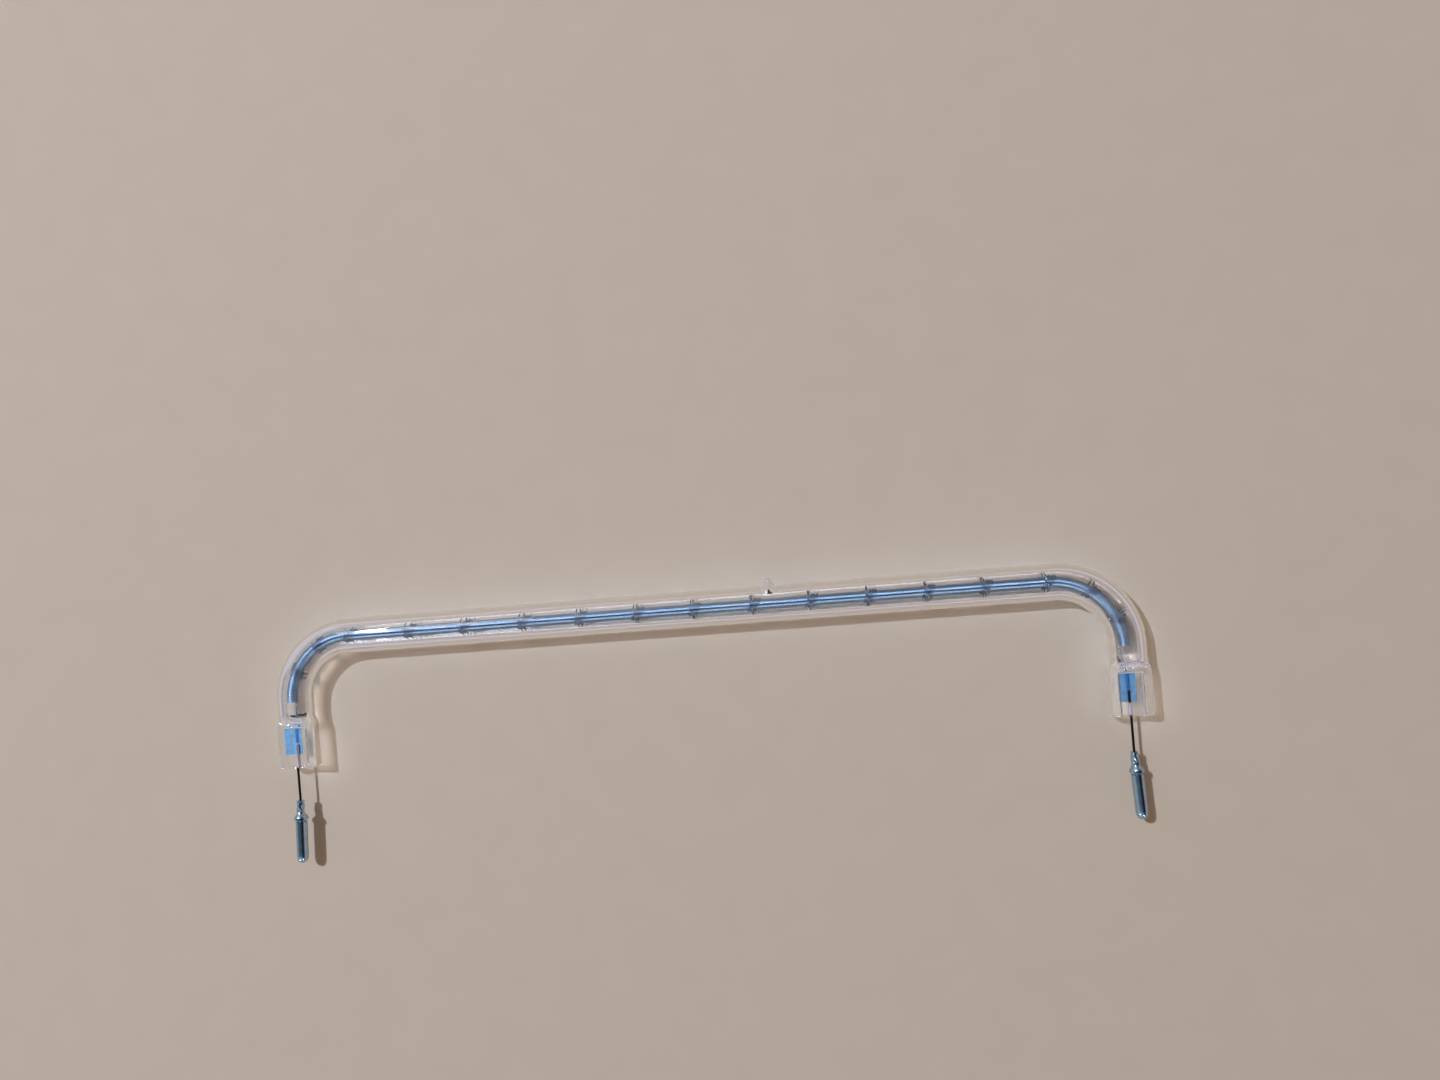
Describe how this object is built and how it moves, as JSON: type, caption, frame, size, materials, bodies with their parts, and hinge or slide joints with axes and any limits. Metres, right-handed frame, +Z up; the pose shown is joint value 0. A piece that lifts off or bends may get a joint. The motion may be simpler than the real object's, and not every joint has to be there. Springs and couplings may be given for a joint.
{
  "type": "quartz heating tube",
  "caption": "U-shaped clear quartz heating tube with a coiled tungsten filament on spiral wire supports, flat pressed seals and pin terminals; gives radiant heat.",
  "frame": {"origin": "on the surface the tube lies on, at mid-span and midway between the nub's tip and the terminals' tips", "axes": "+X along the span, -Y towards the terminals, +Z up off the surface, square to the plane of the U"},
  "size_m": [0.2434, 0.0714, 0.01],
  "materials": {
    "quartz": "clear polished fused quartz",
    "filament_wire": "drawn tungsten wire, bright",
    "support_wire": "drawn tungsten wire, bright",
    "foil": "rolled molybdenum foil, bright, blue-grey",
    "lead_rod": "molybdenum rod, dark oxide",
    "terminal_plating": "bright nickel plate"
  },
  "bodies": {
    "root": {"quartz_tube": "quartz", "filament": "filament_wire", "support_01": "support_wire", "support_02": "support_wire", "support_03": "support_wire", "support_04": "support_wire", "support_05": "support_wire", "support_06": "support_wire", "support_07": "support_wire", "support_08": "support_wire", "support_09": "support_wire", "support_10": "support_wire", "support_11": "support_wire", "support_12": "support_wire", "support_13": "support_wire", "support_14": "support_wire", "support_15": "support_wire", "support_16": "support_wire", "support_17": "support_wire", "foil_left": "foil", "lead_left": "lead_rod", "terminal_left": "terminal_plating", "foil_right": "foil", "lead_right": "lead_rod", "terminal_right": "terminal_plating"}
  },
  "joints": []
}
